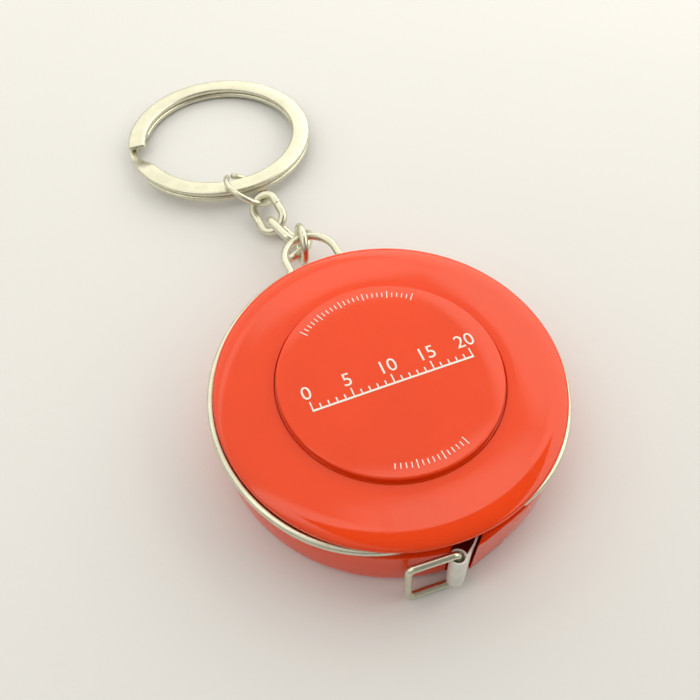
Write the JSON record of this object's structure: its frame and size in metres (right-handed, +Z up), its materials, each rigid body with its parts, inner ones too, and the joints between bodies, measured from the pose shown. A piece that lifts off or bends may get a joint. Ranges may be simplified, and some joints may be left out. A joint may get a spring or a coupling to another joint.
{
  "type": "retractable tape measure",
  "caption": "Round pocket tape measure with a push-button brake, a spring-wire hoop, a pull ring and a short chain with a split key ring.",
  "frame": {"origin": "centre of the case's flat underside", "axes": "+Z up along the case's axis, -Y towards the tape's mouth, +Y towards the wire bail and the chain"},
  "size_m": [0.0515, 0.1138, 0.0124],
  "materials": {
    "case_red": "gloss",
    "nickel_wire": "polished nickel",
    "spring_steel": "satin",
    "white_plastic": "matt",
    "dark_plastic": "matt",
    "pad_rubber": "matt",
    "tape_white": "satin coated tape"
  },
  "bodies": {
    "case": {"bottom_shell": "case_red", "top_shell": "case_red", "hoop_wire": "nickel_wire", "spring_arbor": "dark_plastic", "main_spring": "spring_steel", "button_spring": "spring_steel", "tape_lead": "tape_white"},
    "button": {"push_button": "case_red", "brake_spider": "case_red", "brake_pad_1": "pad_rubber", "brake_pad_2": "pad_rubber", "brake_pad_3": "pad_rubber"},
    "reel": {"reel": "white_plastic", "tape_roll": "tape_white"},
    "tape_tip": {"tape_end": "tape_white"},
    "hook": {"hook_ring": "nickel_wire"},
    "bail_ring": {"jump_ring_bail": "nickel_wire"},
    "link_1": {"chain_link_1": "nickel_wire"},
    "link_2": {"chain_link_2": "nickel_wire"},
    "link_3": {"chain_link_3": "nickel_wire"},
    "thin_ring": {"jump_ring_key": "nickel_wire"},
    "key_ring": {"key_ring": "nickel_wire"}
  },
  "joints": [
    {"name": "button_press", "type": "slide", "parent": "case", "child": "button", "axis": [0, 0, -1], "range_m": [0, 0.0006], "stiffness_N_per_m": 2500, "springref_m": -0.0005, "deforming": ["button_spring"]},
    {"name": "tape_pull", "type": "slide", "parent": "case", "child": "tape_tip", "axis": [-0.7794, -0.6265, 0], "range_m": [0, 1.5]},
    {"name": "reel_spin", "type": "hinge", "parent": "case", "child": "reel", "pos_m": [0, 0, 0], "axis": [0, 0, 1], "range_deg": [-5190, 0], "deforming": ["main_spring"]},
    {"name": "hook_swing", "type": "hinge", "parent": "tape_tip", "child": "hook", "pos_m": [-0.00339, -0.02587, 0.00465], "axis": [0.0127, 0.1037, 0.9945], "range_deg": [0, 140]},
    {"name": "bail_ring_swing", "type": "hinge", "parent": "case", "child": "bail_ring", "pos_m": [0.0003, 0.03148, 0.00918], "axis": [0.9914, -0.1309, 0], "range_deg": [-30, 80]},
    {"name": "link_1_swing", "type": "hinge", "parent": "bail_ring", "child": "link_1", "pos_m": [0.00034, 0.0337, 0.00615], "axis": [0.205, 0.5311, 0.8221], "range_deg": [-50, 5]},
    {"name": "link_2_swing", "type": "hinge", "parent": "link_1", "child": "link_2", "pos_m": [0.00081, 0.0371, 0.00278], "axis": [0.9388, 0.135, 0.3169], "range_deg": [-35, 35]},
    {"name": "link_3_swing", "type": "hinge", "parent": "link_2", "child": "link_3", "pos_m": [-0.00066, 0.04303, 0.0023], "axis": [0.5851, -0.067, -0.8082], "range_deg": [-35, 35]},
    {"name": "thin_ring_swing", "type": "hinge", "parent": "link_3", "child": "thin_ring", "pos_m": [-0.00067, 0.04913, 0.00319], "axis": [0.8228, -0.195, 0.5339], "range_deg": [-30, 30]},
    {"name": "key_ring_turn", "type": "hinge", "parent": "thin_ring", "child": "key_ring", "pos_m": [-0.00151, 0.06891, 0.00088], "axis": [0, 0.0486, 0.9988], "range_deg": [-200, 40]}
  ],
  "couplings": [
    {"joint": "reel_spin", "follows": "tape_pull", "rad_per_m": -60.3}
  ]
}
